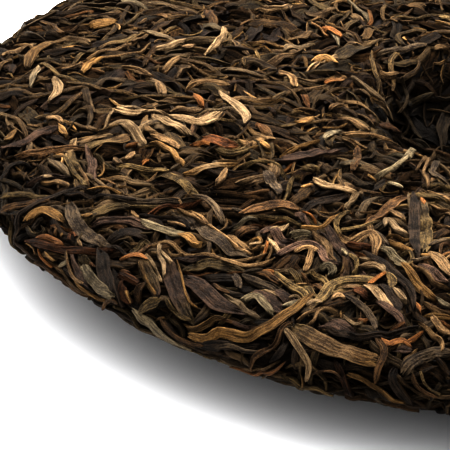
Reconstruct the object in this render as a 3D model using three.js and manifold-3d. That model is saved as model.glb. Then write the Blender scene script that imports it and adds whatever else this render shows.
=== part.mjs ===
// A round cake of pressed raw tea, lying with its domed face down and the dimple of its back face up.
//
// The leaf was steamed, wrapped in a cloth bag and pressed under a stone. The stone left a thin, round edge,
// the knot of the bag left the dimple, and the bed under it left the domed face that the cake lies on.
// The body of the cake is one turned core. Its largest leaves are fused on where they show at the surface.
//
// Millimetres, +Z up. The origin is at the middle of the flat spot that the cake rests on.

import * as THREE from "three";
import { ImprovedNoise } from "three/addons/math/ImprovedNoise.js";
import { mergeVertices } from "three/addons/utils/BufferGeometryUtils.js";
import Module from "manifold-3d";

const wasm = await Module();
wasm.setup();

// Driving dimensions
const cakeRadius = 100;
const cakeThickness = 25;
const edgeThickness = 13;
const edgeLift = 8.5; // how far the lower edge stands off the table
const footRadius = 34; // the flat spot under the domed face, which the leaves fill
const restRadius = 16; // its middle, where the core itself comes down to the table
const dimpleRadius = 26;
const dimpleDepth = 14;
const dimpleOffset = [1.8, -4.5]; // how far the knot sat off the middle
const dimplePull = [30, 85]; // the top follows the knot inside the first radius, not outside the second

// The outline above is the outside of the pressed leaf. The core lies this far inside it.
const leafLayer = 1.2;

// How uneven hand pressing leaves the cake
const outOfRound = 0.7;
const lumpHeight = 0.45;
const lumpSize = 17;

// The core's facets
const turnSteps = 44;
const profileSteps = 21;
const bendLength = 16; // a bend of one radian takes as many of the profile's steps as this length does

// The leaves that show, from broad blades to thin strips
const blade = { count: 48, length: [13, 21], width: [3.2, 4.6], thickness: 2.2, segments: 3 };
const strip = { count: 56, length: [16, 27], width: [1.9, 2.7], thickness: 2.4, segments: 3 };
const bud = { count: 44, length: [9, 14], width: [1.8, 2.6], thickness: 2.4, segments: 2 };
const leafTip = 0.38; // a leaf's width at its ends, as a share of its width in the middle
const leafCrown = 0.66; // its upper face's width, as a share of its lower face's
const leafBend = 1; // the most that a leaf turns over its length, in radians
const leafWave = 0.25; // how far its ends rise or dip
const leafWaveLength = 2;
const deepestLeaf = 0.55; // how far below the pressed surface the upper face of a leaf may lie
const rimStart = 0.8; // from this share of the way out, leaves lie along the rim
const rimSpread = 0.9; // the most that such a leaf turns away from the rim, in radians
const leavesOnTop = 5; // of every eight leaves
const leafSeed = 364;

const sameCorner = 0.001; // corners nearer to each other than this are one corner
const cornerGrid = 0.01;

// The profile of the cake's outside, from the middle of its underside round the edge into the dimple.
// The factors are where its curves start, end and lean.
function cakeProfile() {
  const edgeMiddle = edgeLift + edgeThickness * 0.45;
  const shoulderHeight = edgeLift + edgeThickness;
  const dimpleFloor = cakeThickness - dimpleDepth;
  const crownRadius = dimpleRadius * 1.45;
  const profile = new THREE.Path();
  profile.moveTo(0, 0);
  profile.lineTo(footRadius, 0);
  profile.bezierCurveTo(
    footRadius * 1.7, 0,
    cakeRadius * 0.83, edgeLift * 0.6,
    cakeRadius * 0.94, edgeLift,
  );
  profile.bezierCurveTo(
    cakeRadius * 0.975, edgeLift * 1.3,
    cakeRadius, edgeMiddle - edgeThickness * 0.22,
    cakeRadius, edgeMiddle,
  );
  profile.bezierCurveTo(
    cakeRadius, edgeMiddle + edgeThickness * 0.34,
    cakeRadius * 0.955, shoulderHeight - 1,
    cakeRadius * 0.9, shoulderHeight,
  );
  profile.bezierCurveTo(
    cakeRadius * 0.74, shoulderHeight + 2.4,
    crownRadius * 1.6, cakeThickness,
    crownRadius, cakeThickness,
  );
  profile.bezierCurveTo(
    dimpleRadius * 1.2, cakeThickness,
    dimpleRadius * 1.02, cakeThickness - 0.8,
    dimpleRadius * 0.88, cakeThickness - dimpleDepth * 0.5,
  );
  profile.bezierCurveTo(
    dimpleRadius * 0.76, dimpleFloor + 1.5,
    dimpleRadius * 0.5, dimpleFloor,
    0, dimpleFloor,
  );
  return profile;
}

const profile = cakeProfile();
const profileLength = profile.getLength();
const undersideShare = 0.489; // the share of the profile up to the widest part of the edge
const lumps = new ImprovedNoise();

// A point of the profile at a share of its length and the outward direction there, both as (radius, height)
function onProfile(share) {
  const point = profile.getPointAt(share);
  const along = profile.getTangentAt(share);
  return { point, outward: new THREE.Vector2(along.y, -along.x) };
}

// How far hand pressing moves the surface in or out at one place
function unevenness(x, y, z) {
  return lumpHeight * lumps.noise(x / lumpSize, y / lumpSize, z / lumpSize);
}

// How far the edge stands out of a true circle, at a turn about the cake's axis
function roundness(turn) {
  return outOfRound * (0.6 * Math.cos(2 * turn + 0.8) + 0.4 * Math.cos(3 * turn - 0.6));
}

// A point `lift` above the cake's outside, at a share of the profile's length and a turn about the axis
function onCake(share, turn, lift) {
  const { point, outward } = onProfile(THREE.MathUtils.clamp(share, 0, 1));
  const radius = point.x * (1 + roundness(turn) / cakeRadius);
  const pull = share > undersideShare ? 1 - THREE.MathUtils.smoothstep(point.x, ...dimplePull) : 0;
  const x = radius * Math.cos(turn) + dimpleOffset[0] * pull;
  const y = radius * Math.sin(turn) + dimpleOffset[1] * pull;
  const out = lift + unevenness(x, y, point.y) * THREE.MathUtils.smoothstep(point.x, restRadius, footRadius);
  return new THREE.Vector3(
    x + outward.x * out * Math.cos(turn),
    y + outward.x * out * Math.sin(turn),
    point.y + outward.y * out,
  );
}

// The same by plane coordinates, with the top or the underside spread flat about its own middle
function onFace(top, x, y, lift) {
  const share = Math.hypot(x, y) / profileLength;
  return top ? onCake(1 - share, Math.atan2(y, x), lift) : onCake(share, Math.atan2(-y, x), lift);
}

// A closed geometry as a solid that can be joined and cut
function toSolid(geometry) {
  geometry.deleteAttribute("normal");
  geometry.deleteAttribute("uv");
  const merged = mergeVertices(geometry, sameCorner);
  return new wasm.Manifold(
    new wasm.Mesh({
      numProp: 3,
      vertProperties: new Float32Array(merged.getAttribute("position").array),
      triVerts: new Uint32Array(merged.index.array),
    }),
  );
}

// A solid back as a geometry
function toGeometry(solid) {
  const mesh = solid.getMesh();
  const geometry = new THREE.BufferGeometry();
  geometry.setAttribute("position", new THREE.BufferAttribute(mesh.vertProperties, mesh.numProp));
  geometry.setIndex(new THREE.BufferAttribute(mesh.triVerts, 1));
  return geometry;
}

// How far the core lies inside the outside. In the middle of the underside it comes down to the table.
function coreDepth(share) {
  const atRest = 1 - THREE.MathUtils.smoothstep(profile.getPointAt(share).x, restRadius, footRadius);
  return share < undersideShare ? leafLayer * (1 - atRest) : leafLayer;
}

// The shares of the profile at which the core has its rings
function ringShares() {
  const fineSteps = 500;
  const ways = [0];
  for (let i = 1; i <= fineSteps; i++) {
    const bend = profile.getTangentAt((i - 1) / fineSteps).angleTo(profile.getTangentAt(i / fineSteps));
    ways.push(ways[i - 1] + profileLength / fineSteps + bend * bendLength);
  }
  const wholeWay = ways[fineSteps];
  return Array.from({ length: profileSteps + 1 }, (_, ring) => {
    const reached = ways.findIndex((way) => way >= wholeWay * ring / profileSteps);
    return reached / fineSteps;
  });
}

// The cake's body, turned from the profile and moved in to lie under the leaf layer
function coreSolid() {
  const shares = ringShares();
  const rings = Array.from({ length: profileSteps + 1 }, (_, i) => new THREE.Vector2(i, i));
  rings[0].x = 0;
  rings[profileSteps].x = 0;
  const core = new THREE.LatheGeometry(rings, turnSteps);
  const position = core.getAttribute("position");
  for (let i = 0; i < position.count; i++) {
    const share = shares[position.getY(i)];
    const turn = Math.floor(i / (profileSteps + 1)) % turnSteps * (2 * Math.PI / turnSteps);
    position.setXYZ(i, ...onCake(share, turn, -coreDepth(share)));
  }
  return toSolid(core);
}

// One leaf, pressed flat on the cake: a thin bar with narrow ends, bent to follow the surface under it
function leafSolid(leaf) {
  const bar = new THREE.BoxGeometry(leaf.length, leaf.width, leaf.thickness, leaf.segments, 1, 1);
  const position = bar.getAttribute("position");
  for (let i = 0; i < position.count; i++) {
    const along = position.getX(i);
    const fromMiddle = Math.abs(along) / (leaf.length / 2);
    const upper = position.getZ(i) > 0;
    const narrowing = THREE.MathUtils.lerp(1, leafTip, fromMiddle ** 2) * (upper ? leafCrown : 1);
    const across = position.getY(i) * narrowing;
    const heading = leaf.heading + leaf.bend * along / leaf.length;
    const x = leaf.x + along * Math.cos(heading) - across * Math.sin(heading);
    const y = leaf.y + along * Math.sin(heading) + across * Math.cos(heading);
    const wave = leafWave * fromMiddle * Math.sin(along / leafWaveLength + leaf.x);
    const dip = leaf.depth + (upper ? 0 : leaf.thickness) + wave;
    position.setXYZ(i, ...onFace(leaf.top, x, y, -dip));
  }
  return toSolid(bar);
}

// The leaves, the broadest first, each kind spread evenly over both faces by the golden angle
function scatterLeaves() {
  const goldenAngle = Math.PI * (3 - Math.sqrt(5));
  const leaves = [];
  THREE.MathUtils.seededRandom(leafSeed);
  const draw = (low, high) => THREE.MathUtils.lerp(low, high, THREE.MathUtils.seededRandom());
  for (const [k, kind] of [blade, strip, bud].entries()) {
    for (let i = 0; i < kind.count; i++) {
      const top = i % 8 < leavesOnTop;
      const inner = top ? 0 : restRadius;
      const outer = profileLength * (top ? 1 - undersideShare : undersideShare);
      const wayOut = Math.sqrt((i + 0.5) / kind.count);
      const radius = THREE.MathUtils.lerp(inner, outer, wayOut);
      const turn = i * goldenAngle + k;
      const alongRim = turn + Math.PI / 2 + draw(-rimSpread, rimSpread);
      const anyWay = draw(0, 2 * Math.PI);
      leaves.push({
        top,
        x: radius * Math.cos(turn),
        y: radius * Math.sin(turn),
        heading: wayOut > rimStart ? alongRim : anyWay,
        bend: draw(-leafBend, leafBend),
        length: draw(...kind.length),
        width: draw(...kind.width),
        thickness: kind.thickness,
        segments: kind.segments,
        depth: draw(0, deepestLeaf),
      });
    }
  }
  return leaves;
}

// What lies under the table's surface, where the stone pressed the leaf flat
function tableSolid() {
  const side = cakeRadius * 3;
  const table = new THREE.BoxGeometry(side, side, cakeThickness);
  table.translate(0, 0, -cakeThickness / 2);
  return toSolid(table);
}

// A solid with its corners moved to a fine grid, so that corners almost on each other become one
function cleanSolid(solid) {
  const geometry = toGeometry(solid);
  const values = geometry.getAttribute("position").array;
  values.forEach((value, i) => {
    values[i] = Math.round(value / cornerGrid) * cornerGrid;
  });
  return toSolid(geometry);
}

// Core and leaves as one solid. A pocket shut in between them is a shell of its own, and is left out.
function cakeSolid() {
  const whole = scatterLeaves()
    .reduce((joined, leaf) => joined.add(leafSolid(leaf)), coreSolid())
    .subtract(tableSolid());
  return cleanSolid(whole).decompose().reduce((a, b) => (a.volume() > b.volume() ? a : b));
}

// The leaves at the edge leave the cake a hair off centre, so it is set back on its origin
function centred(geometry) {
  geometry.computeBoundingBox();
  const middle = geometry.boundingBox.getCenter(new THREE.Vector3());
  return geometry.translate(-middle.x, -middle.y, 0);
}

const pressedTea = new THREE.MeshStandardMaterial({ color: 0x4b3a2a, roughness: 0.75, metalness: 0 });
const cakeGeometry = centred(toGeometry(cakeSolid()));
cakeGeometry.computeVertexNormals();

const teaCake = new THREE.Mesh(cakeGeometry, pressedTea);
teaCake.name = "tea_cake";

const part = new THREE.Group();
part.add(teaCake);

export default part;
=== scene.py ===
import math

import bpy
import numpy as np
from mathutils import Matrix, Vector


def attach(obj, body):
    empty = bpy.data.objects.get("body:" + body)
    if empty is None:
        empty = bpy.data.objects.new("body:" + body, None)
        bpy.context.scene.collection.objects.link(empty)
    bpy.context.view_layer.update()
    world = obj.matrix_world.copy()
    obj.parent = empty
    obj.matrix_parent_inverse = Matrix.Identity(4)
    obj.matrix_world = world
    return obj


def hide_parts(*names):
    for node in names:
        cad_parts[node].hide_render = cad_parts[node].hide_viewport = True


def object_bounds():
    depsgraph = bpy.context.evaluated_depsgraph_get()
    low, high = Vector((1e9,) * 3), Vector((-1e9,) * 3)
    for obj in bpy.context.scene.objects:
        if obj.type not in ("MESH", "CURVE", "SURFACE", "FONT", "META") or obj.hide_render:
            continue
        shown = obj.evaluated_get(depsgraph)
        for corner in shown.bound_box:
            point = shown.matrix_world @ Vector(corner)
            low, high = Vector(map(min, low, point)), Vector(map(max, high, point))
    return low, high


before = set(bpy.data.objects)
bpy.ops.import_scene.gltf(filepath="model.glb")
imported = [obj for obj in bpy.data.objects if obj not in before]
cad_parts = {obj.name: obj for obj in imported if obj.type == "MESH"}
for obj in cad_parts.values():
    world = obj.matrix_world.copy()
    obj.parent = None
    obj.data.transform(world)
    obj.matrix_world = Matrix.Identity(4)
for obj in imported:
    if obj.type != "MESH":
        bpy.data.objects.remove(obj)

# A round cake of pressed raw tea, lying on its domed face with the dimple of its back face up.
# Sizes are in millimetres until a mesh is made, and the frame's sizes are kept to hold the leaves inside the
# plain solid's box.
cad_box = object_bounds()
metres = 0.001
cad_low, cad_high = [np.array(corner) / metres for corner in cad_box]
box_gap = 0.02  # how far every leaf stays inside the plain solid's box

# The camera stands low in front of the cake and looks at the near left part of its edge through a long lens.
# Its place was worked out from the cake's outline in the photo.
photo_size = 450
pixels_per_mm = 6.065
camera_distance = 450
camera_rise = math.radians(25.61)
camera_roll = math.radians(3.92)
camera_target = Vector((-50.1, -52.8, 20))
film_width = 36

camera_back = Vector((0, -math.cos(camera_rise), math.sin(camera_rise)))
level_right = Vector((1, 0, 0))
level_up = camera_back.cross(level_right)
camera_right = math.cos(camera_roll) * level_right + math.sin(camera_roll) * level_up
camera_up = camera_back.cross(camera_right)
camera_place = camera_target + camera_back * camera_distance
pixels_per_radian = pixels_per_mm * camera_distance


def photo_pixels(points):
    """Where points in millimetres fall in the photo."""
    away = points - np.array(camera_place)
    depth = -away @ np.array(camera_back)
    across = photo_size / 2 + pixels_per_radian * (away @ np.array(camera_right)) / depth
    down = photo_size / 2 - pixels_per_radian * (away @ np.array(camera_up)) / depth
    return np.stack([across, down], -1)


camera = bpy.data.cameras.new("camera")
camera.sensor_width = film_width
camera.lens = pixels_per_radian * film_width / photo_size
camera.clip_start = 0.01
camera.clip_end = 10
camera_object = bpy.data.objects.new("camera", camera)
turned = Matrix([camera_right, camera_up, camera_back]).transposed().to_4x4()
camera_object.matrix_world = Matrix.Translation(camera_place * metres) @ turned
bpy.context.collection.objects.link(camera_object)
bpy.context.scene.camera = camera_object

# The core is the inner leaf, steamed soft in a cloth bag and pressed under a stone until it held together.
# It is dark, because light only reaches it through the gaps between the leaves outside. Its outline follows
# one profile from the middle of its underside, round the edge and into the dimple that the bag's knot left.
cake_radius = 100
cake_thickness = 25
edge_thickness = 13
edge_lift = 8.5
foot_radius = 34
rest_radius = 16
dimple_radius = 26
dimple_depth = 14
dimple_offset = (1.8, -4.5)
dimple_pull = (30, 85)
out_of_round = 0.7
lump_height = 0.45
core_depth = 2.6
core_bumps = 0.5
sharp_from = math.radians(48)  # where two sides of a leaf meet at more than this, their edge is crisp
underside_share = 0.489


def bezier(start, first, second, end, steps=60):
    """Points of one curve of the profile, without its start."""
    t = np.linspace(0, 1, steps + 1)[1:, None]
    start, first, second, end = map(np.array, (start, first, second, end))
    return (1 - t) ** 3 * start + 3 * (1 - t) ** 2 * t * first + 3 * (1 - t) * t ** 2 * second + t ** 3 * end


edge_middle = edge_lift + edge_thickness * 0.45
shoulder_height = edge_lift + edge_thickness
dimple_floor = cake_thickness - dimple_depth
crown_radius = dimple_radius * 1.45
profile = np.concatenate([
    [(0, 0), (foot_radius / 2, 0), (foot_radius, 0)],
    bezier(
        (foot_radius, 0), (foot_radius * 1.7, 0),
        (cake_radius * 0.83, edge_lift * 0.6), (cake_radius * 0.94, edge_lift),
    ),
    bezier(
        (cake_radius * 0.94, edge_lift), (cake_radius * 0.975, edge_lift * 1.3),
        (cake_radius, edge_middle - edge_thickness * 0.22), (cake_radius, edge_middle),
    ),
    bezier(
        (cake_radius, edge_middle), (cake_radius, edge_middle + edge_thickness * 0.34),
        (cake_radius * 0.955, shoulder_height - 1), (cake_radius * 0.9, shoulder_height),
    ),
    bezier(
        (cake_radius * 0.9, shoulder_height), (cake_radius * 0.74, shoulder_height + 2.4),
        (crown_radius * 1.6, cake_thickness), (crown_radius, cake_thickness),
    ),
    bezier(
        (crown_radius, cake_thickness), (dimple_radius * 1.2, cake_thickness),
        (dimple_radius * 1.02, cake_thickness - 0.8),
        (dimple_radius * 0.88, cake_thickness - dimple_depth * 0.5),
    ),
    bezier(
        (dimple_radius * 0.88, cake_thickness - dimple_depth * 0.5),
        (dimple_radius * 0.76, dimple_floor + 1.5), (dimple_radius * 0.5, dimple_floor), (0, dimple_floor),
    ),
])
profile_ways = np.concatenate([[0], np.cumsum(np.hypot(*np.diff(profile, axis=0).T))])
profile_length = profile_ways[-1]
profile_points = 1200
even_ways = np.linspace(0, profile_length, profile_points)
even_radii = np.interp(even_ways, profile_ways, profile[:, 0])
even_heights = np.interp(even_ways, profile_ways, profile[:, 1])
outward = np.stack([np.gradient(even_heights), -np.gradient(even_radii)], -1)
outward /= np.hypot(*outward.T)[:, None]


def smooth_between(values, low, high):
    """0 below low, 1 above high, and smooth in between."""
    t = np.clip((values - low) / (high - low), 0, 1)
    return t * t * (3 - 2 * t)


def on_cake(top, plane, lift):
    """Points of the cake in millimetres. Its top or underside is spread flat as a plane about its middle, and
    lift is the height above the pressed surface."""
    x, y = plane[..., 0], plane[..., 1]
    reach = np.hypot(x, y)
    way = profile_length - reach if top else reach
    turn = np.arctan2(y if top else -y, x)
    radius = np.interp(way, even_ways, even_radii)
    height = np.interp(way, even_ways, even_heights)
    out_across = np.interp(way, even_ways, outward[:, 0])
    out_up = np.interp(way, even_ways, outward[:, 1])
    upper = way > underside_share * profile_length
    pull = np.where(upper, 1 - smooth_between(radius, *dimple_pull), 0)
    round_radius = radius + radius / cake_radius * out_of_round * (
        0.6 * np.cos(2 * turn + 0.8) + 0.4 * np.cos(3 * turn - 0.6)
    )
    at_x = round_radius * np.cos(turn) + dimple_offset[0] * pull
    at_y = round_radius * np.sin(turn) + dimple_offset[1] * pull
    lumps = np.sin(at_x / 9 + 1) * np.sin(at_y / 11 - 2) + np.sin((at_x - at_y) / 7)
    out = lift + lump_height / 2 * lumps * smooth_between(radius, rest_radius, foot_radius)
    out_x = out * out_across * np.cos(turn)
    out_y = out * out_across * np.sin(turn)
    points = np.stack([at_x + out_x, at_y + out_y, height + out * out_up], -1)
    return np.clip(points, cad_low + box_gap, cad_high - box_gap)


def new_node(tree, kind, sockets=(), **settings):
    """Adds a shader node, sets it, and fills its input sockets with values or with other nodes' outputs."""
    made = tree.nodes.new("ShaderNode" + kind)
    for name, value in settings.items():
        setattr(made, name, value)
    for name, value in dict(sockets).items():
        if isinstance(value, bpy.types.NodeSocket):
            tree.links.new(value, made.inputs[name])
        else:
            made.inputs[name].default_value = value
    return made


picture_gamma = 0.62
light_on_top = 1.88  # how bright a white leaf on top would come out, where 1 is white in the picture


def colour(red, green, blue):
    """The paint that comes out as this colour of the picture, 0 to 255, on a leaf that lies in the open."""
    share = (np.array([red, green, blue]) / 255) ** picture_gamma
    return np.where(share <= 0.04045, share / 12.92, ((share + 0.055) / 1.055) ** 2.4) / light_on_top


def add_piece(name, points, faces, material):
    """A smooth mesh of the cake, riding on its one body in place of the plain solid."""
    mesh = bpy.data.meshes.new(name)
    mesh.from_pydata((points * metres).tolist(), [], faces)
    mesh.materials.append(material)
    mesh.shade_smooth()
    mesh.set_sharp_from_angle(angle=sharp_from)
    piece = bpy.data.objects.new(name, mesh)
    bpy.context.collection.objects.link(piece)
    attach(piece, "root")
    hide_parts("tea_cake")
    return piece


core_material = bpy.data.materials.new("pressed inner leaf")
core_material.use_nodes = True
tree = core_material.node_tree
place = new_node(tree, "TexCoord").outputs["Object"]
crumbs = new_node(tree, "TexNoise", {"Vector": place, "Scale": 900.0, "Detail": 4.0})
core_colours = new_node(tree, "ValToRGB", {"Fac": crumbs.outputs["Fac"]})
core_colours.color_ramp.elements[0].color = (*colour(2, 1, 1), 1)
core_colours.color_ramp.elements[1].color = (*colour(20, 13, 8), 1)
bumps = new_node(tree, "Bump", {"Height": crumbs.outputs["Fac"], "Strength": 0.8, "Distance": 0.0004})
shader = tree.nodes["Principled BSDF"]
tree.links.new(core_colours.outputs["Color"], shader.inputs["Base Color"])
tree.links.new(bumps.outputs["Normal"], shader.inputs["Normal"])
shader.inputs["Roughness"].default_value = 0.85
shader.inputs["Specular IOR Level"].default_value = 0.2

core_rings = 70
core_turns = 150
ring_ways = np.linspace(0, profile_length, core_rings + 1)[1:-1]
turns = np.linspace(0, 2 * math.pi, core_turns, endpoint=False)
core_points = []
for way in ring_ways:
    top = way > underside_share * profile_length
    reach = profile_length - way if top else way
    ring = reach * np.stack([np.cos(turns), np.sin(turns) if top else -np.sin(turns)], -1)
    x, y = ring.T
    rough = np.sin(x * 1.3) * np.sin(y * 1.1 + 1) + np.sin(x * 0.7 - y * 0.9)
    sunk = core_depth * (1 if top else smooth_between(np.array(way), rest_radius, foot_radius))
    core_points.append(on_cake(top, ring, -sunk + core_bumps * 0.5 * rough * min(1, sunk)))
core_points.append(on_cake(False, np.zeros((1, 2)), np.zeros(1)))
core_points.append(on_cake(True, np.zeros((1, 2)), np.full(1, -core_depth)))
core_points = np.concatenate(core_points)
core_faces = []
ring_count = len(ring_ways)
lowest_point = ring_count * core_turns
highest_point = lowest_point + 1
for turn in range(core_turns):
    after = (turn + 1) % core_turns
    core_faces.append((lowest_point, after, turn))
    for ring in range(ring_count - 1):
        lower, upper = ring * core_turns, (ring + 1) * core_turns
        core_faces.append((lower + turn, lower + after, upper + after, upper + turn))
    last = (ring_count - 1) * core_turns
    core_faces.append((last + turn, last + after, highest_point))
add_piece("core", core_points, core_faces, core_material)

# The crushed leaf is the layer next to the core: broken, dark pieces that fill in between the whole leaves
# and show only at the bottom of the gaps. Each piece lies on what was laid before it and is pressed onto it.
chance = np.random.default_rng(364)
cell = 0.4  # the size of the squares in which the height of the pile is kept
rim_seam = 0.45  # the share of the profile, a little under the edge, where the two faces' leaves meet
pile_floor = -2.6
pressed_to = 0.2  # the most that a leaf stands above the pressed surface
pressed_from = -0.9  # where the stone began to flatten the pile
stiffness = 2.6  # over what length a leaf stays straight when it lies across others


class Face:
    """The top or the underside of the cake, spread flat, with the height of the pile on it so far."""

    def __init__(self, top, reach):
        self.top = top
        self.reach = reach
        self.margin = reach + 16
        count = int(2 * self.margin / cell) + 1
        self.height = np.full((count, count), float(pile_floor))

    def squares(self, plane):
        place = ((plane + self.margin) / cell).astype(int)
        place = np.clip(place, 0, len(self.height) - 1)
        return place[..., 0], place[..., 1]

    def pile_at(self, plane):
        return self.height[self.squares(plane)]

    def add(self, plane, lift):
        np.maximum.at(self.height, self.squares(plane), lift)


upper_face = Face(True, (1 - rim_seam) * profile_length)
lower_face = Face(False, rim_seam * profile_length)


class Heap:
    """The leaves of one kind, collected for one mesh."""

    def __init__(self, name, material):
        self.name = name
        self.material = material
        self.points = []
        self.faces = []
        self.count = 0
        self.layers = {"leaf_dark": [], "leaf_light": [], "leaf_grain": [], "leaf_wear_and_highlight": []}

    def make(self):
        piece = add_piece(self.name, np.concatenate(self.points), self.faces, self.material)
        kinds = {3: ("FLOAT_VECTOR", "vector"), 4: ("FLOAT_COLOR", "color"), 1: ("FLOAT", "value")}
        for label, rows in self.layers.items():
            rows = np.concatenate(rows).astype(np.float32)
            kind, field = kinds[rows.shape[1]]
            layer = piece.data.attributes.new(label, kind, "POINT")
            layer.data.foreach_set(field, rows.ravel())


def densely(values, rows, columns):
    """A grid of values with points put in between, for filling the pile's squares."""
    at = np.linspace(0, len(values) - 1, rows)
    low = np.minimum(at.astype(int), len(values) - 2)
    share = (at - low).reshape(-1, *[1] * (values.ndim - 1))
    values = values[low] * (1 - share) + values[low + 1] * share
    at = np.linspace(0, values.shape[1] - 1, columns)
    low = np.minimum(at.astype(int), values.shape[1] - 2)
    share = (at - low).reshape(1, -1, *[1] * (values.ndim - 2))
    return values[:, low] * (1 - share) + values[:, low + 1] * share


def waves(places, longest, count=3):
    """A smooth random curve between about -1 and 1, over places in millimetres."""
    total = np.zeros_like(places)
    for i in range(count):
        phase = places * 2 * math.pi / (longest * 0.62 ** i) + chance.uniform(0, 6.3)
        total = total + np.sin(phase) * 0.75 ** i
    return total / 1.6


def chips(places, spacing):
    """A jagged random line between about -1 and 1, over places in millimetres."""
    total = np.zeros_like(places)
    for size, share in ((spacing, 0.6), (spacing / 2.6, 0.4)):
        knots = np.arange(places.min() - size, places.max() + 2 * size, size)
        knots = knots + chance.uniform(-0.35, 0.35, len(knots)) * size
        total = total + share * np.interp(places, knots, chance.uniform(-1, 1, len(knots)))
    return total


def eased(values, length, rings):
    """Values along a leaf, evened out as far as the leaf is stiff."""
    step = length / rings
    half = max(1, int(round(stiffness / 2 / step)))
    padded = np.pad(values, half, mode="edge")
    weights = np.hanning(2 * half + 3)[1:-1]
    return np.convolve(padded, weights / weights.sum(), mode="valid")


def pressed(lift):
    """Lift after pressing: what stood proud is flattened towards the surface, and keeps its order."""
    room = pressed_to - pressed_from
    return np.where(lift < pressed_from, lift, pressed_to - room * np.exp(-(lift - pressed_from) / room))


dimple_shade = 0.72  # painted shade: how much darker the leaf on the dimple's wall and floor is painted, for the shade in the hollow

# Each kind of leaf changes some of these values. Pairs are the least and the most that one leaf gets.
any_leaf = {
    "grids": ((7, 5, 1), (11, 7, 1), (20, 11, 2)),  # rings, points over and under, for three levels of detail
    "ring_gap": 0.7,
    "lean": 0.0,
    "proud": 0.0,
    "thick": (0.5, 0.8),
    "roundness": 2,  # 2 for a round section, more for a flat one with thin edges
    "blunt": (2.5, 8),  # low for pointed ends, high for broken ones
    "point": (0, 0.3),  # how much narrower the far end is
    "slant": 0.4,  # how far the broken ends slant, in widths
    "ragged": 0.1,
    "curl": (-0.1, 0.2),  # height of the edges over the middle, in widths
    "crease": (0, 0.2),
    "flap": (0, 0.2),  # height of the step where the rolled leaf's free edge lies
    "ridges": (2, 4),
    "ridge_height": 0.15,
    "roll": 0.2,
    "twist": 0.3,
    "wave": 0.1,
    "sink": 0.15,
    "crumple": 0.04,
    "wear": 0.0,  # pushes the whole leaf towards its light colour
    # Partly painted highlight: ridges and edges are painted paler, partly as the leaf's worn colour
    "ridge_wear_and_highlight": 0.45,
    "edge_wear_and_highlight": 0.3,
    "patches": 0.2,
    "uneven": 0.2,
    "edge_shade": 0.58,  # painted shade: how much darker the leaves near the edge of the cake are painted
    "in_order": False,  # whether the tones follow each other from one end to the other
}


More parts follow.
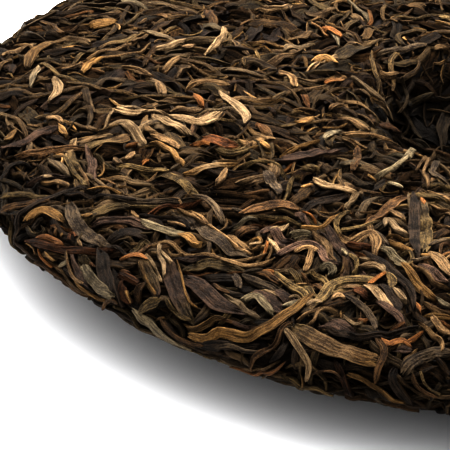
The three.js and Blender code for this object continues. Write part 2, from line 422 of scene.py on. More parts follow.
def press_leaf(heap, face, route, width, look, detail=0):
    """Lays one leaf along a route, a list of plane points, on the pile and presses it there."""
    look = {**any_leaf, **look}
    for name, value in look.items():
        if isinstance(value, tuple) and len(value) == 2 and not isinstance(value[0], str):
            look[name] = chance.uniform(*value)
    rings, upper, lower = look["grids"][detail]
    steps = np.concatenate([[0], np.cumsum(np.hypot(*np.diff(route, axis=0).T))])
    length = steps[-1]
    if detail == 2:
        rings = int(np.clip(length / look["ring_gap"], rings * 0.6, rings * 2))
    s = np.linspace(0, 1, rings)
    line = np.stack([np.interp(s * length, steps, route[:, i]) for i in range(2)], -1)
    ahead = np.gradient(line, axis=0)
    ahead /= np.maximum(np.hypot(*ahead.T), 1e-6)[:, None]
    side = np.stack([-ahead[:, 1], ahead[:, 0]], -1)

    # Both edges: full in the middle, narrowing to the ends, each with its own bites and bulges
    narrowing = (1 - np.abs(2 * (0.03 + 0.94 * s) - 1) ** look["blunt"]) ** 0.7
    narrowing = narrowing * (1 - look["point"] * s ** 1.6)
    edges = [width / 2 * narrowing * (1 + look["ragged"] * chips(s * length, 3.5)) for _ in range(2)]
    left, right = [np.maximum(edge, 0.07)[:, None] for edge in edges]
    v = np.sin(np.linspace(-1, 1, upper) * 1.45) / math.sin(1.45)
    back = np.linspace(0.75, -0.75, lower) if lower > 1 else np.array([0.0])
    half = (left + right) / 2

    # The section: a curled plate with creases, the step of a free edge, and furrows between rounded ridges
    drifting = 0.14 * waves(s * length, 14)[:, None]
    crease_at, flap_at = chance.uniform(-0.5, 0.5, 2)
    ridge_phase = chance.uniform(0, 3.1)
    ridge = np.abs(np.sin(math.pi / 2 * look["ridges"] * (v[None] + drifting) + ridge_phase)) ** 0.8
    plate = look["curl"] * half * 2 * v[None] ** 2
    plate = plate + look["crease"] * half * np.abs(v[None] - crease_at - 0.5 * drifting)
    plate = plate + look["flap"] * smooth_between(v[None] - flap_at - drifting, -0.12, 0.12)
    body = np.maximum(1 - np.abs(v[None]) ** look["roundness"], 0) ** 0.5
    plate = plate + look["crumple"] * chance.uniform(-1, 1, (rings, upper)) * body
    height = plate + look["thick"] * (0.5 * body + 0.06) + look["ridge_height"] * ridge * body
    under = np.zeros((rings, lower)) + look["curl"] * half * 2 * back[None] ** 2 - look["thick"] * 0.5
    z = np.concatenate([height, under], 1)
    across = np.concatenate([v, back])[None]
    y = np.where(across > 0, left, right) * across

    # Roll, twist and lengthwise waves
    angle = look["lean"] + look["roll"] * chance.normal() + look["twist"] * chance.normal() * 2 * (s - 0.5)
    angle = np.clip(angle + 0.5 * look["twist"] * waves(s * length, 12), -1.3, 1.3)[:, None]
    y, z = y * np.cos(angle) - z * np.sin(angle), z * np.cos(angle) + y * np.sin(angle)
    z = z + look["wave"] * waves(s * length, 9)[:, None]

    # Broken ends: each point near an end is moved along the leaf by its place across it
    near_start = np.clip(1 - s / 0.3, 0, 1)[:, None]
    near_end = np.clip(1 - (1 - s) / 0.3, 0, 1)[:, None]
    slant = look["slant"]
    cuts = []
    for _ in range(2):
        tilt = slant * chance.normal() * across / 2
        cuts.append(width * (tilt + 0.5 * slant * waves(across * 2, 1.5)))
    plane = line[:, None] + side[:, None] * y[..., None]
    plane = plane + ahead[:, None] * (near_start * cuts[0] + near_end * cuts[1])[..., None]

    # On the pile
    rests_at = np.stack([face.pile_at(line + side * half * k) for k in (-0.7, 0, 0.7)], 1)
    support = eased(rests_at.max(1) * 0.55 + rests_at.mean(1) * 0.45, length, rings)
    lift = support[:, None] + z - z.min(1, keepdims=True) - look["sink"]
    lift = pressed(lift) + look["proud"]
    rows = max(rings, int(length / 0.3))
    columns = max(upper, int(width / 0.3) + 2)
    face.add(densely(plane[:, :upper], rows, columns), densely(lift[:, :upper], rows, columns))

    # Colour: two colours for the leaf, and for each point how far the light one shows through: as wear in
    # patches, and on the ridges and edges partly as wear and partly as painted highlight
    # Painted shade: a leaf that lies deep in the pile is painted darker, for the shade at the bottom of the
    # gaps.
    depth_shade = 0.22 + 0.78 * smooth_between(support.mean(), -2.1, -0.5)
    reach = np.hypot(*line.T).mean()
    # Painted shade: leaves are painted darker towards the edge of the cake, for the shade along its rim.
    painted_shade = 1 - look["edge_shade"] * smooth_between(reach / face.reach, 0.68, 0.95)
    # Painted shade: leaves in the dimple are painted darker, most on its wall, for the shade in the hollow.
    dimple_shade_mask = (1 - smooth_between(reach, 23, 36)) * (0.75 + 0.25 * smooth_between(reach, 10, 20))
    painted_shade = painted_shade * (1 - dimple_shade * dimple_shade_mask * face.top)
    shade = math.exp(chance.normal() * look["uneven"]) * depth_shade * painted_shade
    names = look["tones"]
    stations = np.arange(len(names)) if look["in_order"] else chance.random(2) * (len(names) - 1)
    tone_at = np.interp(s, np.linspace(0, 1, len(stations)), stations)
    dark, light = np.ones((2, rings, 4))
    for depth, blend in enumerate((dark, light)):
        for c in range(3):
            levels = [tones[name][depth][c] for name in names]
            blend[:, c] = np.interp(tone_at, np.arange(len(names)), levels) * shade
    patch = waves(s * length, 9)[:, None] * 0.6 + waves(s * length + 50, 3)[:, None] * 0.4
    # Partly painted highlight: ridges and edges are painted paler; the patches and the whole-leaf wear are
    # the leaf's own colour
    wear = look["ridge_wear_and_highlight"] * (ridge - 0.5) + look["edge_wear_and_highlight"] * np.abs(v[None]) ** 6
    wear = wear + look["patches"] * patch + look["wear"]
    wear = np.concatenate([wear, np.zeros((rings, lower))], 1)

    along = np.broadcast_to(s[:, None] * length, y.shape)
    around = half * np.concatenate([v, back + 3])[None]
    seed = np.full(y.shape, chance.uniform(0, 400))
    ring = upper + lower
    heap.points.append(on_cake(face.top, plane, lift).reshape(-1, 3))
    heap.layers["leaf_dark"].append(np.repeat(dark, ring, axis=0))
    heap.layers["leaf_light"].append(np.repeat(light, ring, axis=0))
    heap.layers["leaf_grain"].append(np.stack([along, around, seed], -1).reshape(-1, 3))
    heap.layers["leaf_wear_and_highlight"].append(wear.reshape(-1, 1))
    first = heap.count
    for i in range(rings - 1):
        a, b = first + i * ring, first + (i + 1) * ring
        heap.faces.extend((a + j, b + j, b + (j + 1) % ring, a + (j + 1) % ring) for j in range(ring))
    heap.faces.append(tuple(range(first, first + ring)))
    last = first + (rings - 1) * ring
    heap.faces.append(tuple(range(last + ring - 1, last - 1, -1)))
    heap.count += rings * ring


def drift(x, y):
    """The way that leaves near a place tend to lie."""
    return 0.8 * math.sin(x / 33 + 2.2) + 0.6 * math.sin(y / 26 - 0.6) + 0.4 * math.sin((x + y) / 17) - 0.1


view_margin = 25  # how far beyond the photo's sides the leaves still have their detail, in its pixels
near_row = 140  # the photo's row below which it is sharp
route_points = 9
usual_kink = 0.35
leaf_relief = 0.9  # how strongly the fibres and blotches stand out
rim_leaves_from = 0.84  # the share of the way out from which leaves lie along the rim
loose_middle = 0.75  # the share of the way out up to which leaves lie more at random


def detail_at(face, middle):
    """The level of detail for a leaf: 2 where the photo is sharp, 1 where it is blurred, 0 outside it."""
    if not face.top:
        return 0
    across, down = photo_pixels(on_cake(True, middle[None], np.zeros(1)))[0]
    low, high = -view_margin, photo_size + view_margin
    if not (low < across < high and low < down < high):
        return 0
    return 2 if down > near_row else 1


def scatter(heap, face, count, lengths, widths, look, bend=0.5, room=0.0, tries=6):
    """Lays many leaves of one kind, each where the pile is lowest among a few places tried. Where the photo
    is sharp, room is the share that is left out for the leaves that it shows there."""
    for _ in range(count):
        length = chance.triangular(lengths[0], lengths[0] * 0.6 + lengths[1] * 0.4, lengths[1])
        width = chance.uniform(*widths)
        s = np.linspace(0, 1, route_points)
        best = None
        for _ in range(tries):
            reach = face.reach * math.sqrt(chance.random())
            turn = chance.uniform(0, 2 * math.pi)
            x, y = reach * math.cos(turn), reach * math.sin(turn)
            heading = drift(x, y) + chance.normal() * (0.7 if reach > face.reach * loose_middle else 1.1)
            if reach > face.reach * rim_leaves_from and chance.random() < 0.6:
                heading = turn + math.pi / 2 + chance.normal() * 0.35
            turned_by = chance.normal() * bend
            swerve = chance.normal() * bend * 0.3
            kink_at = chance.uniform(0.25, 0.75)
            way = heading + turned_by * (s - 0.5) * 2 + swerve * np.sin(2 * math.pi * s)
            kink = usual_kink * chance.normal()
            way = way + kink * smooth_between(s, kink_at - 0.08, kink_at + 0.08)
            route = np.cumsum(np.stack([np.cos(way), np.sin(way)], -1), 0) * length / (route_points - 1)
            route = route - route.mean(0) + (x, y)
            level = face.pile_at(route).mean()
            if best is None or level < best[0]:
                best = (level, route)
        detail = detail_at(face, best[1][route_points // 2])
        if detail < 2 or chance.random() >= room:
            press_leaf(heap, face, best[1], width, look, detail)


def lay_all_over(heap, counts, look, mixes, **habits):
    """Lays leaves of one kind on the underside and then on the top, with equal shares of the mixes."""
    for face, count in zip((lower_face, upper_face), counts):
        for lengths, widths, mix_tones in mixes:
            scatter(heap, face, count // len(mixes), lengths, widths, {**look, "tones": mix_tones}, **habits)


def leaf_material(name, roughness=0.6, fibre_wear=1.0, blotch_wear=0.8, shine=0.1, hairs=0.0):
    """Dry leaf: the dark colour, worn through to the light one along the fibres and in small blotches."""
    material = bpy.data.materials.new(name)
    material.use_nodes = True
    tree = material.node_tree
    shader = tree.nodes["Principled BSDF"]
    dark = new_node(tree, "Attribute", attribute_name="leaf_dark").outputs["Color"]
    light = new_node(tree, "Attribute", attribute_name="leaf_light").outputs["Color"]
    wear = new_node(tree, "Attribute", attribute_name="leaf_wear_and_highlight").outputs["Fac"]
    grain = new_node(tree, "Attribute", attribute_name="leaf_grain").outputs["Vector"]

    def noise(stretch, **settings):
        place = new_node(tree, "VectorMath", {0: grain, 1: stretch}, operation="MULTIPLY").outputs["Vector"]
        return new_node(tree, "TexNoise", {"Vector": place, "Scale": 1.0, **settings}).outputs["Fac"]

    def math_node(operation, *values):
        return new_node(tree, "Math", dict(enumerate(values)), operation=operation).outputs["Value"]

    fibres = noise((0.22, 3.2, 1.0), Detail=5.0, Roughness=0.7, Distortion=0.5)
    blotches = noise((0.9, 1.3, 1.0), Detail=7.0, Roughness=0.78)
    specks = noise((4.0, 5.5, 1.0), Detail=3.0, Roughness=0.7)
    # The wear attribute carries the painted highlight on ridges and edges as well as the worn patches
    amount = math_node("MULTIPLY_ADD", fibres, 2.0 * fibre_wear, wear)
    amount = math_node("MULTIPLY_ADD", blotches, 2.0 * blotch_wear, amount)
    amount = math_node("MULTIPLY_ADD", specks, 2.8, amount)
    middle = fibre_wear + blotch_wear + 1.4
    worn = new_node(tree, "MapRange", {
        "Value": amount, "From Min": middle - 0.16, "From Max": middle + 0.44,
    }, interpolation_type="SMOOTHSTEP").outputs["Result"]
    paint = new_node(tree, "Mix", data_type="RGBA")
    tree.links.new(worn, paint.inputs[0])
    tree.links.new(dark, paint.inputs[6])
    tree.links.new(light, paint.inputs[7])
    # Painted shade and highlight: the colour is darker in the furrows of the fibres, the low parts of the
    # same noise that makes the bump, and a little lighter on their crests
    furrow_shade = new_node(tree, "MapRange", {
        "Value": fibres, "From Min": 0.35, "From Max": 0.6, "To Min": 0.45, "To Max": 1.1,
    }).outputs["Result"]
    shaded = new_node(tree, "VectorMath", {0: paint.outputs[2], "Scale": furrow_shade}, operation="SCALE")
    tree.links.new(shaded.outputs["Vector"], shader.inputs["Base Color"])
    lengthwise = new_node(tree, "Bump", {"Height": fibres, "Strength": leaf_relief, "Distance": 0.001})
    pitted = new_node(tree, "Bump", {
        "Height": blotches, "Normal": lengthwise.outputs["Normal"], "Strength": leaf_relief,
        "Distance": 0.0005,
    })
    tree.links.new(pitted.outputs["Normal"], shader.inputs["Normal"])
    shader.inputs["Roughness"].default_value = roughness
    shader.inputs["Specular IOR Level"].default_value = shine
    shader.inputs["Specular Tint"].default_value = (1, 0.86, 0.72, 1)
    shader.inputs["Sheen Weight"].default_value = hairs
    return material


tones = {  # the dark ground and the paler, worn colour of each kind of leaf
    "shadow": (colour(8, 5, 3), colour(40, 27, 15)),
    "black": (colour(14, 10, 7), colour(60, 44, 31)),
    "grey": (colour(44, 33, 25), colour(122, 96, 67)),
    "plum": (colour(42, 29, 22), colour(112, 79, 58)),
    "brown": (colour(44, 27, 15), colour(134, 90, 50)),
    "red": (colour(48, 24, 12), colour(128, 71, 36)),
    "olive": (colour(50, 36, 19), colour(148, 114, 65)),
    "tan": (colour(88, 59, 32), colour(178, 132, 81)),
    "golden": (colour(102, 65, 28), colour(190, 134, 69)),
    "pale": (colour(112, 82, 50), colour(203, 160, 108)),
    "silver": (colour(86, 71, 48), colour(170, 144, 102)),
    "orange": (colour(108, 56, 22), colour(194, 116, 53)),
}


crushed_look = {
    "grids": ((4, 4, 1), (6, 6, 1), (8, 7, 1)), "thick": (0.5, 0.9), "blunt": (3, 8), "roll": 0.4,
    "ragged": 0.25, "crease": (0.2, 0.6), "flap": (0.1, 0.5), "crumple": 0.09, "ridges": (2, 4),
    "ridge_height": 0.3, "ridge_wear_and_highlight": 0.7, "sink": 0.3, "uneven": 0.3,
}
crushed_leaf = Heap("crushed_leaf", leaf_material("dark crushed leaf", roughness=0.8, shine=0.04))
# Painted shade: the shadow tone paints these pieces near black, for the shade at the bottom of the gaps; the
# brown is the crushed leaf's own colour
crushed_mixes = [((6, 15), (1.2, 2.8), ("shadow", "brown", "brown"))]
lay_all_over(crushed_leaf, (700, 1500), crushed_look, crushed_mixes, tries=4)

# The blades are whole leaves that kept some of their width when they were rolled: flat, dark grey or plum,
# mottled, with a paler edge or fold, partly the leaf's own colour and partly painted highlight. They lie in
# the pile as they fell and were pressed flat with it.
blade_look = {
    "thick": (0.25, 0.55), "roundness": 5, "blunt": (1.6, 5), "point": (0, 0.5), "ragged": 0.18,
    "curl": (-0.15, 0.22), "crease": (0, 0.4), "flap": (0, 0.3), "ridges": (3, 6),
    "ridge_height": (0.05, 0.16), "twist": 0.4, "roll": 0.3, "crumple": 0.06, "edge_wear_and_highlight": 0.5,
    "ridge_wear_and_highlight": 0.35, "patches": 0.35,
}
blades = Heap("blades", leaf_material("flat dark leaf", roughness=0.5, fibre_wear=0.5, blotch_wear=1.0))
lay_all_over(blades, (350, 520), blade_look, [
    ((8, 17), (1.8, 3.6), ("black", "plum", "grey", "brown")),
    ((8, 17), (1.8, 3.4), ("brown", "grey", "olive", "tan")),
], bend=0.25, room=0.5)

# The dark strips are leaves twisted lengthwise into thin bundles, with two to four ridges painted paler than
# the furrows between them, partly as the dried leaf's colour and partly as painted highlight. With the pale
# strips they are most of the cake, pressed in as they fell.
strip_look = {
    "thick": (0.3, 0.75), "roundness": 4, "blunt": (2.5, 9), "ragged": 0.16, "curl": (-0.2, 0.1),
    "crease": (0, 0.5), "flap": (0.05, 0.45), "ridges": (2, 5), "ridge_height": (0.15, 0.32), "twist": 0.8,
    "roll": 0.4, "crumple": 0.05, "ridge_wear_and_highlight": 0.7, "edge_wear_and_highlight": 0.25, "patches": 0.3,
}
dark_strips = Heap("dark_strips", leaf_material("rolled dark leaf"))
lay_all_over(dark_strips, (350, 620), strip_look, [
    ((6, 18), (1.2, 2.8), ("black", "brown", "grey")),
    ((5, 17), (0.9, 2.2), ("plum", "brown", "tan")),
], bend=0.35, room=0.5)

# The pale strips are the same leaves where the outside of the roll dried brown, olive or tan. They are
# twisted like the dark strips and lie over and between them.
pale_strips = Heap("pale_strips", leaf_material("rolled pale leaf"))
lay_all_over(pale_strips, (350, 620), strip_look, [
    ((6, 18), (1.0, 2.7), ("brown", "olive", "tan")),
    ((5, 17), (0.9, 2.4), ("grey", "tan", "pale")),
], bend=0.35, room=0.5)

# The strands are young leaves and stalks rolled round: long, even in width, curved, olive to tan. They were
# soft when the cake was pressed, so they bend over what lies under them.
strand_look = {
    "thick": (0.5, 0.9), "blunt": (3, 12), "ridges": (2, 3), "ridge_height": 0.12, "twist": 0.3,
    "ridge_wear_and_highlight": 0.5,
}
strands = Heap("strands", leaf_material("olive and tan leaf", roughness=0.55))
lay_all_over(strands, (400, 650), strand_look, [
    ((5, 24), (0.5, 1.3), ("brown", "olive")),
    ((5, 20), (0.5, 1.2), ("olive", "tan", "golden")),
], bend=0.5, room=0.6)

# The buds are unopened leaf tips, golden or silvery with fine hairs, thick in the middle and pointed. They
# are pressed in among the leaves, near the surface.
bud_look = {
    "thick": (0.6, 1.0), "blunt": (1.6, 3), "point": (0.2, 0.6), "ridges": (2, 4), "ridge_height": 0.12,
    "wear": 0.1,
}
buds = Heap("buds", leaf_material("hairy bud", roughness=0.65, hairs=0.04))
lay_all_over(buds, (150, 240), bud_look, [
    ((5, 12), (1.0, 2.1), ("tan", "golden")),
    ((5, 12), (1.0, 2.1), ("silver", "tan")),
], bend=0.35, room=0.7)

# The twigs are bits of stalk, orange to tan, straight and broken off square. They were too stiff to roll
# and lie where the leaves hold them.
twig_look = {
    "thick": (0.4, 0.8), "blunt": (8, 16), "point": (0, 0.1), "ridges": (1, 2), "ridge_height": 0.06,
    "twist": 0.1, "slant": 0.7, "wear": 0.1, "roll": 0.1,
}
twigs = Heap("twigs", leaf_material("dry stalk", roughness=0.55))
lay_all_over(twigs, (70, 110), twig_look, [((3, 8), (0.5, 1.1), ("orange", "tan"))], bend=0.12, room=0.7)

# The shreds are fibres and splinters that broke off the leaves. They were pressed into the gaps between the
# leaves, and the last of them, on top, are laid after the leaves of the next section.
shred_look = {
    "grids": ((4, 3, 1), (6, 4, 1), (8, 5, 1)), "thick": (0.2, 0.4), "blunt": (3, 10), "ragged": 0.2,
    "ridges": (1, 2), "ridge_height": 0.05, "crumple": 0.03, "sink": 0.1, "wear": 0.1,
    "tones": ("brown", "tan", "golden", "olive"),
}
shreds = Heap("shreds", leaf_material("leaf fibre"))
for face, count in ((lower_face, 500), (upper_face, 1300)):
    scatter(shreds, face, count, (1.5, 7), (0.25, 0.65), shred_look)

# The top leaves are the ones that the photo shows, of the kinds above, laid over the rest. They were on the
# outside when the cake was pressed. The points on the cake below say where each pixel of the photo lies.
spot_gap = 0.5
spot_line = np.arange(-upper_face.reach, upper_face.reach, spot_gap)
spots = np.stack(np.meshgrid(spot_line, spot_line, indexing="ij"), -1)
spot_pixels = photo_pixels(on_cake(True, spots, np.zeros(spots.shape[:2])))
across_x = np.gradient(spot_pixels, axis=0) / spot_gap
across_y = np.gradient(spot_pixels, axis=1) / spot_gap
faces_camera = across_x[..., 0] * across_y[..., 1] - across_x[..., 1] * across_y[..., 0] < -0.3
on_face = np.hypot(*np.moveaxis(spots, -1, 0)) < upper_face.reach
usable = faces_camera & on_face & (np.abs(spot_pixels - photo_size / 2).max(-1) < photo_size / 2 + 40)
spots, spot_pixels = spots[usable], spot_pixels[usable]
slopes = np.stack([across_x[usable], across_y[usable]], -1)


def photo_spots(pixels):
    """Plane points of the top face that the photo shows at these pixels."""
    found = []
    for pixel in pixels:
        nearest = ((spot_pixels - pixel) ** 2).sum(-1).argmin()
        rest = np.clip(np.linalg.solve(slopes[nearest], pixel - spot_pixels[nearest]), -spot_gap, spot_gap)
        found.append(spots[nearest] + rest)
    return np.array(found)


def smooth_route(places, step=3.0):
    """A smooth line through the places, with points about a step apart."""
    places = np.array(places, float)
    padded = np.concatenate([[2 * places[0] - places[1]], places, [2 * places[-1] - places[-2]]])
    line = [places[:1]]
    for before, start, end, after in zip(padded, padded[1:], padded[2:], padded[3:]):
        t = np.linspace(0, 1, max(2, int(np.hypot(*(end - start)) / step) + 1))[1:, None]
        bow = 2 * before - 5 * start + 4 * end - after
        swing = 3 * start - before - 3 * end + after
        line.append(0.5 * (2 * start + (end - before) * t + bow * t ** 2 + swing * t ** 3))
    return np.concatenate(line)


def lay_seen(kind, tone, width, pixels):
    """Lays one leaf that the photo shows, as wide as it looks there."""
    heap, look = seen_kinds[kind]
    if heap is pale_strips and tone.split()[0] in ("black", "plum", "grey", "red"):
        heap = dark_strips
    places = [[float(value) for value in pixel.split(",")] for pixel in pixels.split()]
    route = photo_spots(smooth_route(places))
    middle = len(route) // 2
    ahead = route[min(middle + 1, len(route) - 1)] - route[max(middle - 1, 0)]
    side = np.array([-ahead[1], ahead[0]]) / max(np.hypot(*ahead), 1e-6)
    ends = photo_pixels(on_cake(True, route[middle] + side * np.array([[-0.5], [0.5]]), np.zeros(2)))
    flat_width = np.hypot(*(ends[1] - ends[0]))
    shown = flat_width + 0.5 * max(pixels_per_mm - flat_width, 0)
    lean = 0.7 * max(1 - flat_width / pixels_per_mm, 0) * (1 if side[1] > 0 else -1)
    seen = {
        **look, "tones": tuple(tone.split()), "in_order": True, "lean": lean, "roll": 0.1, "ring_gap": 0.45,
        "grids": (None, (14, 9, 1), (20, 15, 2)), "point": (0, 0.2), "uneven": 0.08, "proud": 0.15,
    }
    detail = max(1, detail_at(upper_face, route[middle]))
    press_leaf(heap, upper_face, route, width / shown, seen, detail)


seen_kinds = {
    "blade": (blades, {**blade_look, "curl": (0, 0.15)}),
    "flat": (blades, {**blade_look, "curl": (0, 0.1), "blunt": (7, 14), "slant": 0.6, "ridge_wear_and_highlight": 0.6}),
    "strip": (pale_strips, {**strip_look, "twist": 0.3, "ridges": (3, 5)}),
    "strand": (strands, strand_look),
    "bud": (buds, {**bud_look, "thick": (0.7, 1.0)}),
    "twig": (twigs, twig_look),
}
